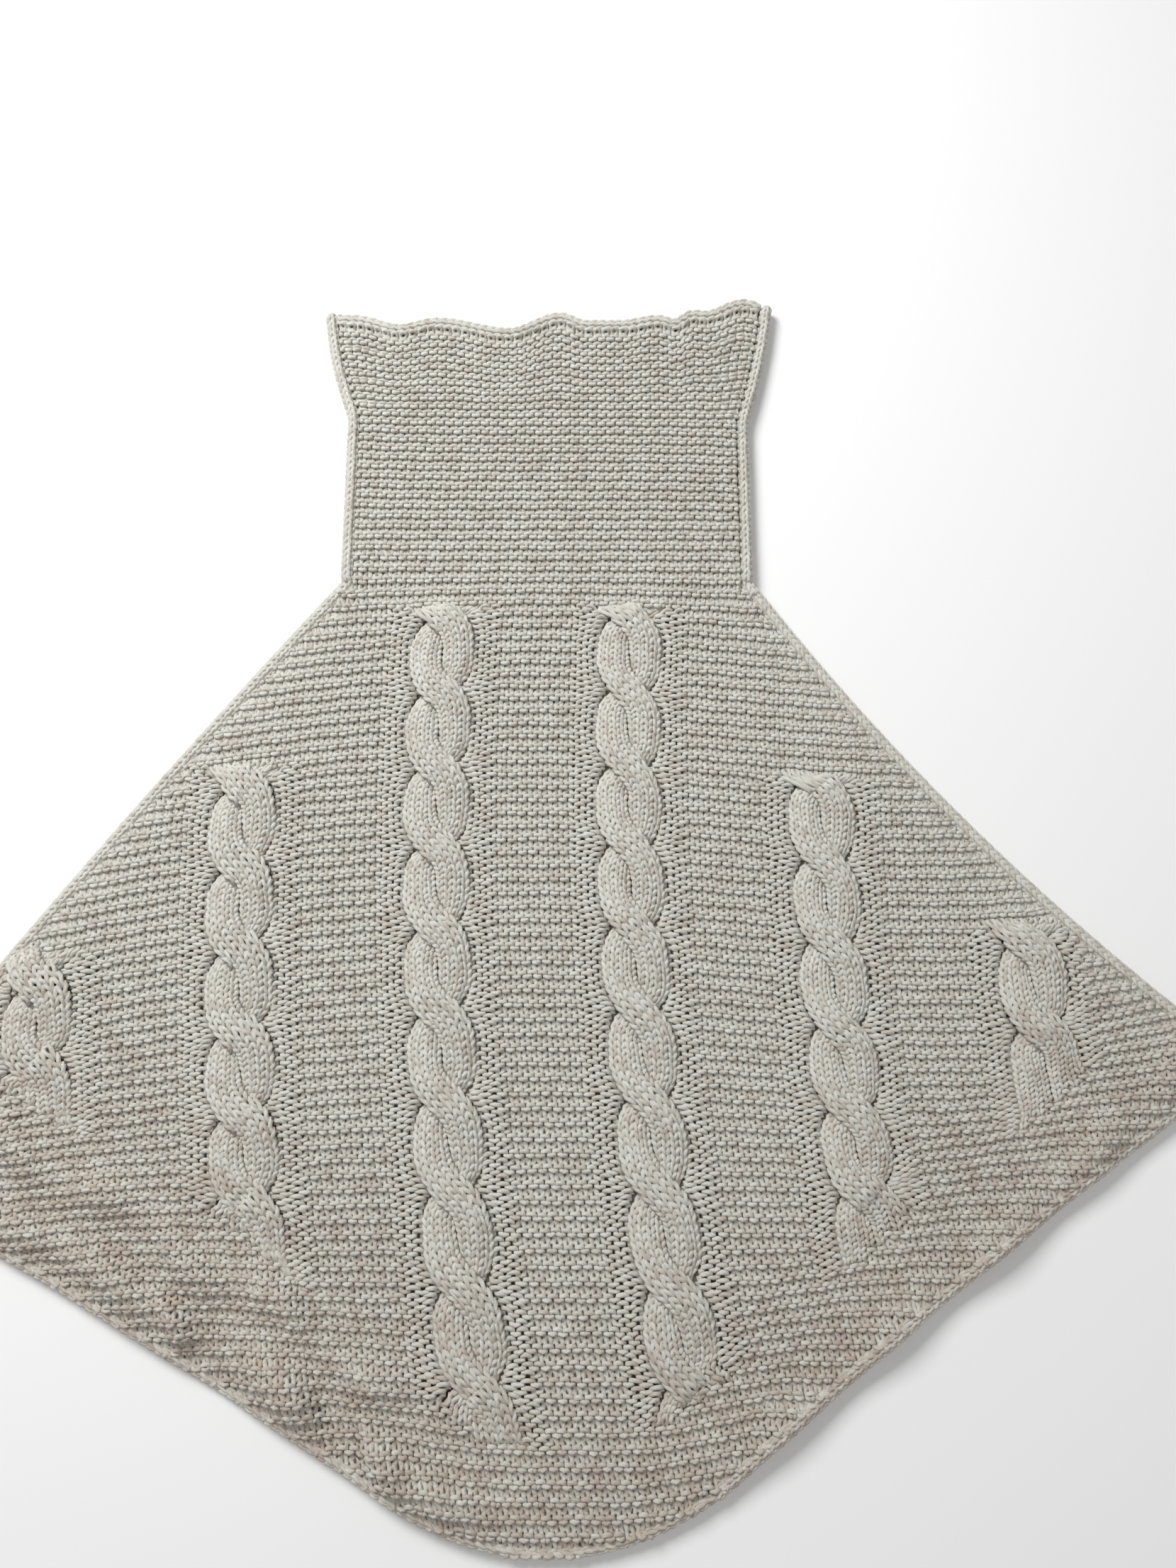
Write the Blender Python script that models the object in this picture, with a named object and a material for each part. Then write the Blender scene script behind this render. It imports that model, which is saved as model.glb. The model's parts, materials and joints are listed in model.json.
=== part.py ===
"""Knitted cable poncho with a tall turn-down collar, laid flat with its front up.

Metres, +Z up. The collar points to +Y and the hem's point to -Y. The origin is at the middle
of the garment's box, on the surface that it lies on. Inside the script the outline is drawn
from the middle of the collar's foot, and one empty carries everything to its place.
"""

import math

import bpy
from mathutils import Vector

# The garment laid flat, seen from above
WING_SPAN = 0.840
BODY_LENGTH = 0.572
COLLAR_WIDTH = 0.269
COLLAR_HEIGHT = 0.196
FOLD_HEIGHT = 0.108
COLLAR_FLARE = 0.018
FLARE_START = 0.008

# How the garment happens to lie: its left wing hangs lower than its right
LEFT_TIP_DROP = 0.362
RIGHT_TIP_DROP = 0.306
WING_SHIFT = 0.004
LEFT_SHOULDER_BULGE = 0.005
RIGHT_SHOULDER_BULGE = -0.015
LEFT_HEM_BULGE = -0.004
RIGHT_HEM_BULGE = -0.006
BODY_LEAN = 0.032
LEAN_START = 0.121
LEAN_REACH = 0.362

# The cast-on edge at the bottom, where the knitting starts
CAST_ON_WIDTH = 0.190
CAST_ON_DEPTH = 0.030
CAST_ON_SHIFT = 0.005

# Fabric and edges
PANEL_THICKNESS = 0.0050
COLLAR_THICKNESS = 0.0054
LAYER_GAP = 0.0004
PIECE_GAP = 0.0003
FOLD_GAP = 0.0006
FOLD_CLEARANCE = 0.0006
SEAM_DIAMETER = 0.0080
HEM_EDGE_WIDTH = 0.0120
BIND_OFF_WIDTH = 0.0080
BIND_OFF_WAVE = 0.0035
BIND_OFF_SCALLOPS = 7

# Cables: two ropes of stitches that cross every twelve rows
CABLE_SPACING = 0.120
CABLE_WIDTH = 0.040
CABLE_PINCH = 0.009
CABLE_RISE = 0.0040
CROSSING_PITCH = 0.0505
INNER_HEADROOM = 0.014
MIDDLE_HEADROOM = 0.042
OUTER_HEADROOM = 0.004
HEM_BORDER = 0.058

SIDE_STEPS = 12
CABLE_STEP = 0.0063

OATMEAL = (0.42, 0.38, 0.33)
SEAM_GREY = (0.36, 0.33, 0.29)
CABLE_LIGHT = (0.47, 0.44, 0.39)

BODY_HEIGHT = 2 * PANEL_THICKNESS + LAYER_GAP
COLLAR_TOP = 2 * COLLAR_THICKNESS + LAYER_GAP
FOLD_AXIS_HEIGHT = COLLAR_TOP + FOLD_CLEARANCE


def new_collection(name):
    collection = bpy.data.collections.new(name)
    bpy.context.scene.collection.children.link(collection)
    return collection


def new_empty(name, location, parent, collection):
    empty = bpy.data.objects.new(name, None)
    empty.location = location
    empty.parent = parent
    collection.objects.link(empty)
    return empty


def wool(name, colour):
    material = bpy.data.materials.new(name)
    material.use_nodes = True
    shader = material.node_tree.nodes["Principled BSDF"]
    shader.inputs["Base Color"].default_value = (*colour, 1.0)
    shader.inputs["Roughness"].default_value = 0.95
    shader.inputs["Metallic"].default_value = 0.0
    return material


def poly_curve(name, points, closed, collection, parent, material):
    curve = bpy.data.curves.new(name, "CURVE")
    spline = curve.splines.new("POLY")
    spline.points.add(len(points) - 1)
    for point, place in zip(spline.points, points):
        point.co = (*place, 1.0)
    spline.use_cyclic_u = closed
    curve.materials.append(material)
    piece = bpy.data.objects.new(name, curve)
    piece.parent = parent
    collection.objects.link(piece)
    return piece


def plate(name, outline, low, thickness, place):
    """A flat piece of fabric: its outline, filled and given its thickness above low."""
    piece = poly_curve(name, [(p.x, p.y, 0.0) for p in outline], True, *place)
    piece.data.dimensions = "2D"
    piece.data.fill_mode = "BOTH"
    piece.data.extrude = thickness / 2
    piece.location.z = low + thickness / 2
    return piece


def rope(name, path, diameter, height, place):
    """A round bar of stitches along a path, with its middle at height."""
    piece = poly_curve(name, [(p.x, p.y, 0.0) for p in path], False, *place)
    piece.data.dimensions = "3D"
    piece.data.bevel_depth = diameter / 2
    piece.data.bevel_resolution = 2
    piece.data.use_fill_caps = True
    piece.location.z = height
    return piece


def curved_side(start, end, bulge, steps=SIDE_STEPS):
    """Points from start up to, but not including, end. bulge is how far the middle stands
    out to the left of the way from start to end."""
    along = end - start
    out = Vector((-along.y, along.x)).normalized()
    points = []
    for i in range(steps):
        t = i / steps
        points.append(start + along * t + out * bulge * 4 * t * (1 - t))
    return points


def inset(outline, distances):
    """A closed outline, clockwise, with each edge moved inwards by its own distance."""
    count = len(outline)
    moved = []
    for i in range(count):
        before = (outline[i] - outline[i - 1]).normalized()
        after = (outline[(i + 1) % count] - outline[i]).normalized()
        inward_before = Vector((before.y, -before.x))
        inward_after = Vector((after.y, -after.x))
        turn = inward_before.cross(inward_after)
        if abs(turn) < 1e-4:
            moved.append(outline[i] + inward_after * distances[i])
            continue
        x = (distances[i - 1] * inward_after.y - distances[i] * inward_before.y) / turn
        y = (distances[i] * inward_before.x - distances[i - 1] * inward_after.x) / turn
        moved.append(outline[i] + Vector((x, y)))
    return moved


def pulled_back(path, start_cut, end_cut):
    """The path with a length taken off each end, which has to be shorter than its last edge."""
    first = path[0] + (path[1] - path[0]).normalized() * start_cut
    last = path[-1] + (path[-2] - path[-1]).normalized() * end_cut
    return [first, *path[1:-1], last]


def body_outline():
    """The garment's edge below the collar, clockwise from the left of the neck, and the
    number of the point at which each side starts."""
    neck_left = Vector((-COLLAR_WIDTH / 2, 0.0))
    neck_right = Vector((COLLAR_WIDTH / 2, 0.0))
    tip_right = Vector((WING_SHIFT + WING_SPAN / 2, -RIGHT_TIP_DROP))
    tip_left = Vector((WING_SHIFT - WING_SPAN / 2, -LEFT_TIP_DROP))
    cast_on_height = CAST_ON_DEPTH - BODY_LENGTH
    cast_on_right = Vector((CAST_ON_SHIFT + CAST_ON_WIDTH / 2, cast_on_height))
    cast_on_left = Vector((CAST_ON_SHIFT - CAST_ON_WIDTH / 2, cast_on_height))
    sides = (
        ("neck", neck_left, neck_right, 0.0, 1),
        ("shoulder_right", neck_right, tip_right, RIGHT_SHOULDER_BULGE, SIDE_STEPS),
        ("hem_right", tip_right, cast_on_right, RIGHT_HEM_BULGE, SIDE_STEPS),
        ("cast_on", cast_on_right, cast_on_left, CAST_ON_DEPTH, SIDE_STEPS),
        ("hem_left", cast_on_left, tip_left, LEFT_HEM_BULGE, SIDE_STEPS),
        ("shoulder_left", tip_left, neck_left, LEFT_SHOULDER_BULGE, SIDE_STEPS),
    )
    outline = []
    starts = {}
    for name, start, end, bulge, steps in sides:
        starts[name] = (len(outline), len(outline) + steps)
        outline += curved_side(start, end, bulge, steps)
    return outline, starts


def side_points(outline, span):
    """The points of one side, both of its ends included."""
    first, last = span
    return [outline[i % len(outline)] for i in range(first, last + 1)]


def edge_distances(outline, starts, neck, shoulder, hem):
    distances = [hem] * len(outline)
    distances[0] = neck
    for name in ("shoulder_right", "shoulder_left"):
        for i in range(*starts[name]):
            distances[i] = shoulder
    return distances


def make_body(place, seam_place):
    """Front and back panels, the edge round each hem, and the two shoulder seams."""
    outline, starts = body_outline()
    seam_room = SEAM_DIAMETER + PIECE_GAP
    hem_room = HEM_EDGE_WIDTH + PIECE_GAP
    panel = inset(
        outline, edge_distances(outline, starts, PIECE_GAP, seam_room, hem_room)
    )
    hem_inner = inset(
        outline, edge_distances(outline, starts, PIECE_GAP, 0.0, HEM_EDGE_WIDTH)
    )
    front_low = PANEL_THICKNESS + LAYER_GAP
    for layer, low in (("back", 0.0), ("front", front_low)):
        plate(f"{layer}_panel", panel, low, PANEL_THICKNESS, place)
        for side, name in (
            ("hem_right", "hem_edge_right"),
            ("cast_on", "cast_on_edge"),
            ("hem_left", "hem_edge_left"),
        ):
            outer = side_points(outline, starts[side])
            inner = side_points(hem_inner, starts[side])
            outer = pulled_back(outer, PIECE_GAP, PIECE_GAP)
            inner = pulled_back(inner, PIECE_GAP, PIECE_GAP)
            strip = outer + inner[::-1]
            plate(f"{layer}_{name}", strip, low, PANEL_THICKNESS, seam_place)
    seam_axis = inset(
        outline,
        edge_distances(
            outline, starts, PIECE_GAP, SEAM_DIAMETER / 2, HEM_EDGE_WIDTH + PIECE_GAP
        ),
    )
    right = side_points(seam_axis, starts["shoulder_right"])
    left = side_points(seam_axis, starts["shoulder_left"])
    seam_height = BODY_HEIGHT / 2
    rope(
        "right_shoulder_seam",
        pulled_back(right, SEAM_DIAMETER, SEAM_DIAMETER),
        SEAM_DIAMETER,
        seam_height,
        seam_place,
    )
    rope(
        "left_shoulder_seam",
        pulled_back(left, SEAM_DIAMETER, SEAM_DIAMETER),
        SEAM_DIAMETER,
        seam_height,
        seam_place,
    )


def collar_half_width(height):
    """Half of the collar's width at a height above its foot: it flares above the fold."""
    straight = FOLD_HEIGHT + FLARE_START
    above = max(0.0, (height - straight) / (COLLAR_HEIGHT - straight))
    return COLLAR_WIDTH / 2 + COLLAR_FLARE * (1 - (1 - above) ** 1.6)


def collar_side(low, high, inwards, steps=SIDE_STEPS):
    """Points up the collar's right side, inwards of its edge and square to it."""
    edge = []
    for i in range(steps + 1):
        height = low + (high - low) * i / steps
        edge.append(Vector((collar_half_width(height), height)))
    points = []
    for i, point in enumerate(edge):
        along = (edge[min(i + 1, steps)] - edge[max(i - 1, 0)]).normalized()
        points.append(point + Vector((-along.y, along.x)) * inwards)
    points[0].y = low
    points[-1].y = high
    return points


def mirrored(points):
    return [Vector((-p.x, p.y)) for p in points]


def bind_off_outline(low):
    """The strip along the collar's top, whose outer edge stands in shallow scallops."""
    inwards = SEAM_DIAMETER + PIECE_GAP
    half = collar_half_width(low) - inwards
    top = []
    steps = BIND_OFF_SCALLOPS * 6
    for i in range(steps + 1):
        t = i / steps
        wave = abs(math.sin(math.pi * BIND_OFF_SCALLOPS * t))
        top.append(
            Vector((half * (1 - 2 * t), COLLAR_HEIGHT - BIND_OFF_WAVE * (1 - wave)))
        )
    return [Vector((-half, low)), Vector((half, low)), *top]


def make_collar_fabric(name, low, high, base, place):
    """Front and back fabric of one half of the collar. base is how far up the garment and how
    high above the floor the half's parent lies, so that places are taken from it."""
    axis_y, axis_z = base
    offset = Vector((0.0, axis_y))
    fabric = collar_side(low, high, SEAM_DIAMETER + PIECE_GAP)
    outline = [p - offset for p in fabric + mirrored(fabric)[::-1]]
    for layer, bottom in (("back", 0.0), ("front", COLLAR_THICKNESS + LAYER_GAP)):
        plate(f"{layer}_{name}", outline, bottom - axis_z, COLLAR_THICKNESS, place)


def make_collar_seams(name, low, high, base, place):
    """The seams up the two sides of one half of the collar."""
    axis_y, axis_z = base
    offset = Vector((0.0, axis_y))
    path = collar_side(low, high, SEAM_DIAMETER / 2)
    for side, points in (("right", path), ("left", mirrored(path))):
        rope(
            f"{side}_{name}_seam",
            [p - offset for p in points],
            SEAM_DIAMETER,
            COLLAR_TOP / 2 - axis_z,
            place,
        )


def make_collar(place, seam_place, fold_place, fold_seam_place):
    """The collar's lower half stays with the body. Its upper half turns down over it."""
    foot = (0.0, 0.0)
    axis = (FOLD_HEIGHT, FOLD_AXIS_HEIGHT)
    lower_top = FOLD_HEIGHT - FOLD_GAP / 2
    upper_foot = FOLD_HEIGHT + FOLD_GAP / 2
    fabric_top = COLLAR_HEIGHT - BIND_OFF_WIDTH
    make_collar_fabric("collar_lower", PIECE_GAP, lower_top, foot, place)
    make_collar_seams("collar_lower", PIECE_GAP, lower_top, foot, seam_place)
    make_collar_fabric("collar_upper", upper_foot, fabric_top, axis, fold_place)
    make_collar_seams("collar_upper", upper_foot, COLLAR_HEIGHT, axis, fold_seam_place)
    offset = Vector((0.0, FOLD_HEIGHT))
    strip = [p - offset for p in bind_off_outline(fabric_top + PIECE_GAP)]
    for layer, bottom in (("back", 0.0), ("front", COLLAR_THICKNESS + LAYER_GAP)):
        low = bottom - FOLD_AXIS_HEIGHT
        plate(f"{layer}_bind_off", strip, low, COLLAR_THICKNESS, fold_seam_place)


def lean(drop):
    """How far the columns of stitches have moved to the right, at a drop below the collar."""
    return BODY_LEAN * ((drop - LEAN_START) / LEAN_REACH) ** 2 - BODY_LEAN / 4


def drop_at(side, x):
    """How far below the collar's foot one side of the outline runs at x."""
    side = sorted(side, key=lambda point: point.x)
    for near, far in zip(side, side[1:]):
        if near.x <= x <= far.x:
            share = (x - near.x) / (far.x - near.x)
            return -(near.y + (far.y - near.y) * share)
    return 0.0


def make_cable(name, offset, top, bottom, place):
    """One raised cable: narrow at each crossing, wide between two crossings."""
    steps = round((bottom - top) / CABLE_STEP)
    right = []
    left = []
    for i in range(steps + 1):
        drop = top + (bottom - top) * i / steps
        pinch = math.cos(math.pi * (drop - top) / CROSSING_PITCH) ** 2
        half = (CABLE_WIDTH - CABLE_PINCH * pinch) / 2
        right.append(Vector((lean(drop) + offset + half, -drop)))
        left.append(Vector((lean(drop) + offset - half, -drop)))
    low = BODY_HEIGHT + PIECE_GAP
    plate(name, right + left[::-1], low, CABLE_RISE, place)


def make_cables(place):
    """Each cable starts below the shoulder line and ends above the garter border, both taken
    at the cable's outer side."""
    outline, starts = body_outline()
    cast_on = side_points(outline, starts["cast_on"])
    for side, sign in (("left", -1), ("right", 1)):
        shoulder = side_points(outline, starts[f"shoulder_{side}"])
        hem = side_points(outline, starts[f"hem_{side}"])
        for name, steps, headroom in (
            ("inner", 0.5, INNER_HEADROOM),
            ("middle", 1.5, MIDDLE_HEADROOM),
            ("outer", 2.5, OUTER_HEADROOM),
        ):
            offset = sign * steps * CABLE_SPACING
            outer_side = offset + sign * CABLE_WIDTH / 2
            top = drop_at(shoulder, outer_side) + headroom
            hem_drop = max(drop_at(hem, outer_side), drop_at(cast_on, outer_side))
            bottom = max(hem_drop - HEM_BORDER, top + CROSSING_PITCH)
            make_cable(f"{side}_{name}_cable", offset, top, bottom, place)


for old in list(bpy.data.objects):
    bpy.data.objects.remove(old)

poncho = new_collection("cable_poncho")
body_wool = wool("oatmeal_marl_wool", OATMEAL)
edge_wool = wool("seam_wool", SEAM_GREY)
cable_wool = wool("cable_wool", CABLE_LIGHT)

middle_y = (BODY_LENGTH - COLLAR_HEIGHT) / 2
garment = new_empty("garment", (-WING_SHIFT, middle_y, 0.0), None, poncho)
collar_fold = new_empty(
    "collar_fold", (0.0, FOLD_HEIGHT, FOLD_AXIS_HEIGHT), garment, poncho
)
make_body((poncho, garment, body_wool), (poncho, garment, edge_wool))
make_collar(
    (poncho, garment, body_wool),
    (poncho, garment, edge_wool),
    (poncho, collar_fold, body_wool),
    (poncho, collar_fold, edge_wool),
)
make_cables((poncho, garment, cable_wool))
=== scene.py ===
import json
import math

import bmesh
import bpy
import numpy as np
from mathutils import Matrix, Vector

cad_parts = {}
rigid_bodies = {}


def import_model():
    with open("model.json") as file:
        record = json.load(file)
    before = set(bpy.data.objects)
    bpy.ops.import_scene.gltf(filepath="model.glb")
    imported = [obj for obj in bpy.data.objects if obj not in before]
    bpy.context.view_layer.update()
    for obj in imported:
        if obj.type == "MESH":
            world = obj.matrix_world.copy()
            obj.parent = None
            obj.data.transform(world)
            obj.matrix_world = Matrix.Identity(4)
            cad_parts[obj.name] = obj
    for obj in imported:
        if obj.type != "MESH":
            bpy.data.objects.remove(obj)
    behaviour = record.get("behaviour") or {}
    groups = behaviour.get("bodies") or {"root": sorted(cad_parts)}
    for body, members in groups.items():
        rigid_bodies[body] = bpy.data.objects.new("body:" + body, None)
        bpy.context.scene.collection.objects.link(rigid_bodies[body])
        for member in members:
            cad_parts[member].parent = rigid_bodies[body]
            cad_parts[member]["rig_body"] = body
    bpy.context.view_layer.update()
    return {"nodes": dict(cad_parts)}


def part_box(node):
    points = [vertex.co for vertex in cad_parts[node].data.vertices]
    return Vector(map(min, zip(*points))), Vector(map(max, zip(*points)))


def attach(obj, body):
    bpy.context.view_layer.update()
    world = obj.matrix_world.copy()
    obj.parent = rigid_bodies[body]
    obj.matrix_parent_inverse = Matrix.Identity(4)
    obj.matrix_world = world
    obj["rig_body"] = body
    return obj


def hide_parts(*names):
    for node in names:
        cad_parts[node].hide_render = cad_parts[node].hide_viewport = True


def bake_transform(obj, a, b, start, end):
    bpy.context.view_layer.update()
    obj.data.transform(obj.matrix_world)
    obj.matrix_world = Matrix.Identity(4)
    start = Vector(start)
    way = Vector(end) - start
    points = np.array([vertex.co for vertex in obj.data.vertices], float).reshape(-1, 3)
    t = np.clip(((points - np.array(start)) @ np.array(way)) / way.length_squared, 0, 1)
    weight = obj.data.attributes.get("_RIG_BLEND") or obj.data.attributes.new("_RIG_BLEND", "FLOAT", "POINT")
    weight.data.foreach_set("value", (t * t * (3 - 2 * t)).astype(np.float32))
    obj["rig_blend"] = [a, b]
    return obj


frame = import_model()


# The view. The poncho lies on the floor and is seen from above by someone who stands past its
# hem, with the hem's point towards them and the collar away from them.
camera_data = bpy.data.cameras.new("view")
camera_data.sensor_fit = "HORIZONTAL"
camera_data.sensor_width = 36.0
camera_data.lens = 36.0
camera = bpy.data.objects.new("view", camera_data)
camera.location = (0.0229, -0.1000, 0.7300)
camera.rotation_euler = (math.radians(12.0), 0.0, 0.0)
bpy.context.scene.collection.objects.link(camera)
bpy.context.scene.camera = camera


# The wool. One soft two-ply yarn, oatmeal with brown flecks where the dyed fibres bunch up. The
# flecks are as long as a few stitches and run with the yarn, and the two plies turn round it.
def new_socket(tree, name, kind, way, value=None):
    socket = tree.interface.new_socket(name, in_out=way, socket_type=kind)
    if value is not None:
        socket.default_value = value


def make_marl_group():
    """Colour and fibre height of the yarn, from how far along and round it a place is."""
    tree = bpy.data.node_groups.new("marled yarn", "ShaderNodeTree")
    new_socket(tree, "Pale", "NodeSocketColor", "INPUT", (0.50, 0.46, 0.40, 1.0))
    new_socket(tree, "Middle", "NodeSocketColor", "INPUT", (0.42, 0.37, 0.32, 1.0))
    new_socket(tree, "Fleck", "NodeSocketColor", "INPUT", (0.27, 0.20, 0.155, 1.0))
    new_socket(tree, "Plies", "NodeSocketFloat", "INPUT", 2.0)
    new_socket(tree, "Colour", "NodeSocketColor", "OUTPUT")
    new_socket(tree, "Height", "NodeSocketFloat", "OUTPUT")
    nodes, links = tree.nodes, tree.links
    given = nodes.new("NodeGroupInput")
    result = nodes.new("NodeGroupOutput")

    marl_and_painted_shade = nodes.new("ShaderNodeAttribute")
    marl_and_painted_shade.attribute_name = "marl_and_painted_shade"
    place = nodes.new("ShaderNodeTexCoord")
    yarn = nodes.new("ShaderNodeUVMap")
    yarn.uv_map = "along_and_round"
    parts = nodes.new("ShaderNodeSeparateXYZ")
    links.new(yarn.outputs[0], parts.inputs[0])

    # Fibres: fine streaks that run along the yarn and wind round it with the plies
    winding = nodes.new("ShaderNodeMath")
    winding.operation = "ADD"
    links.new(parts.outputs["X"], winding.inputs[0])
    links.new(parts.outputs["Y"], winding.inputs[1])
    streak = nodes.new("ShaderNodeCombineXYZ")
    links.new(parts.outputs["X"], streak.inputs["X"])
    links.new(winding.outputs[0], streak.inputs["Y"])
    stretch = nodes.new("ShaderNodeMapping")
    stretch.inputs["Scale"].default_value = (2.2, 13.0, 1.0)
    links.new(streak.outputs[0], stretch.inputs["Vector"])
    fluff = nodes.new("ShaderNodeTexNoise")
    fluff.inputs["Scale"].default_value = 1.0
    fluff.inputs["Detail"].default_value = 3.0
    links.new(stretch.outputs[0], fluff.inputs["Vector"])

    # Patches: a bunch of dyed fibre lies in neighbouring rows and shows as a wide, low patch
    wide = nodes.new("ShaderNodeMapping")
    wide.inputs["Scale"].default_value = (0.45, 1.3, 0.0)
    links.new(place.outputs["Object"], wide.inputs["Vector"])
    patch = nodes.new("ShaderNodeTexNoise")
    patch.inputs["Scale"].default_value = 60.0
    patch.inputs["Detail"].default_value = 3.0
    links.new(wide.outputs[0], patch.inputs["Vector"])

    # The share of dyed fibre: the yarn's own, with painted shade added towards the hem, a little fluff and
    # broad patches
    fluff_share = nodes.new("ShaderNodeMath")
    fluff_share.operation = "MULTIPLY_ADD"
    fluff_share.inputs[1].default_value = 0.45
    links.new(fluff.outputs["Fac"], fluff_share.inputs[0])
    links.new(marl_and_painted_shade.outputs["Fac"], fluff_share.inputs[2])
    share = nodes.new("ShaderNodeMath")
    share.operation = "MULTIPLY_ADD"
    share.inputs[1].default_value = 0.85
    links.new(patch.outputs["Fac"], share.inputs[0])
    links.new(fluff_share.outputs[0], share.inputs[2])
    first_ramp = nodes.new("ShaderNodeMapRange")
    first_ramp.inputs["From Min"].default_value = 0.75
    first_ramp.inputs["From Max"].default_value = 1.30
    links.new(share.outputs[0], first_ramp.inputs["Value"])
    second_ramp = nodes.new("ShaderNodeMapRange")
    second_ramp.inputs["From Min"].default_value = 1.20
    second_ramp.inputs["From Max"].default_value = 1.75
    links.new(share.outputs[0], second_ramp.inputs["Value"])
    pale_to_middle = nodes.new("ShaderNodeMix")
    pale_to_middle.data_type = "RGBA"
    links.new(first_ramp.outputs[0], pale_to_middle.inputs["Factor"])
    links.new(given.outputs["Pale"], pale_to_middle.inputs[6])
    links.new(given.outputs["Middle"], pale_to_middle.inputs[7])
    to_fleck = nodes.new("ShaderNodeMix")
    to_fleck.data_type = "RGBA"
    links.new(second_ramp.outputs[0], to_fleck.inputs["Factor"])
    links.new(pale_to_middle.outputs[2], to_fleck.inputs[6])
    links.new(given.outputs["Fleck"], to_fleck.inputs[7])
    links.new(to_fleck.outputs[2], result.inputs["Colour"])

    # Plies: ridges that wind round the yarn as it runs, under fine fibres
    around = nodes.new("ShaderNodeMath")
    around.operation = "MULTIPLY"
    links.new(parts.outputs["Y"], around.inputs[0])
    links.new(given.outputs["Plies"], around.inputs[1])
    turn = nodes.new("ShaderNodeMath")
    turn.operation = "ADD"
    links.new(parts.outputs["X"], turn.inputs[0])
    links.new(around.outputs[0], turn.inputs[1])
    angle = nodes.new("ShaderNodeMath")
    angle.operation = "MULTIPLY"
    angle.inputs[1].default_value = 2 * math.pi
    links.new(turn.outputs[0], angle.inputs[0])
    ridge = nodes.new("ShaderNodeMath")
    ridge.operation = "COSINE"
    links.new(angle.outputs[0], ridge.inputs[0])
    height = nodes.new("ShaderNodeMath")
    height.operation = "MULTIPLY_ADD"
    height.inputs[1].default_value = 0.35
    links.new(ridge.outputs[0], height.inputs[0])
    links.new(fluff.outputs["Fac"], height.inputs[2])
    links.new(height.outputs[0], result.inputs["Height"])
    return tree


marled_yarn = make_marl_group()


def spun_wool(name, pale, middle, fleck):
    """The shader of one yarn: soft, without gloss, with a pale bloom of loose fibres."""
    material = bpy.data.materials.new(name)
    material.use_nodes = True
    nodes, links = material.node_tree.nodes, material.node_tree.links
    shader = nodes["Principled BSDF"]
    shader.inputs["Roughness"].default_value = 0.92
    shader.inputs["Specular IOR Level"].default_value = 0.25
    shader.inputs["Sheen Weight"].default_value = 0.15
    shader.inputs["Sheen Roughness"].default_value = 0.45
    shader.inputs["Sheen Tint"].default_value = (1.0, 0.97, 0.93, 1.0)
    marl_and_painted_shade = nodes.new("ShaderNodeGroup")
    marl_and_painted_shade.node_tree = marled_yarn
    marl_and_painted_shade.inputs["Pale"].default_value = (*pale, 1.0)
    marl_and_painted_shade.inputs["Middle"].default_value = (*middle, 1.0)
    marl_and_painted_shade.inputs["Fleck"].default_value = (*fleck, 1.0)
    links.new(marl_and_painted_shade.outputs["Colour"], shader.inputs["Base Color"])
    bump = nodes.new("ShaderNodeBump")
    bump.inputs["Strength"].default_value = 0.7
    bump.inputs["Distance"].default_value = 0.0007
    links.new(marl_and_painted_shade.outputs["Height"], bump.inputs["Height"])
    links.new(bump.outputs["Normal"], shader.inputs["Normal"])
    return material


YARN_THICKNESS = 0.0028
TWIST_LENGTH = 0.0060
oatmeal_wool = spun_wool(
    "oatmeal marl wool",
    pale=(0.66, 0.655, 0.600),
    middle=(0.595, 0.570, 0.505),
    fleck=(0.48, 0.405, 0.340),
)


def marl_along(length_along, seed):
    """How much dyed fibre the yarn holds at each place along it, from 0 to about 1."""
    share = np.zeros(len(length_along))
    for wave, weight in ((0.061, 0.30), (0.027, 0.26), (0.0131, 0.22), (0.0072, 0.16)):
        shift = np.modf(np.sin(seed * 12.9898 + wave * 7823.3) * 43758.5453)[0] * 2 * math.pi
        share += weight * np.sin(2 * math.pi * length_along / wave + shift)
    return np.clip(0.42 + 0.50 * share, 0.0, 1.1)


def painted_hem_shade(x, y):
    """Painted shade: more dyed-fibre share darkens the border's yarn towards the hem, most of all at the
    point, where the light falls off.
    """
    hem = -0.384 + 0.62 * np.abs(x - 0.01)
    return 0.34 * np.clip(1 - (y - hem) / 0.16, 0.0, 1.0) ** 1.1


def unit(vectors):
    return vectors / np.maximum(np.linalg.norm(vectors, axis=-1, keepdims=True), 1e-9)


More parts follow.
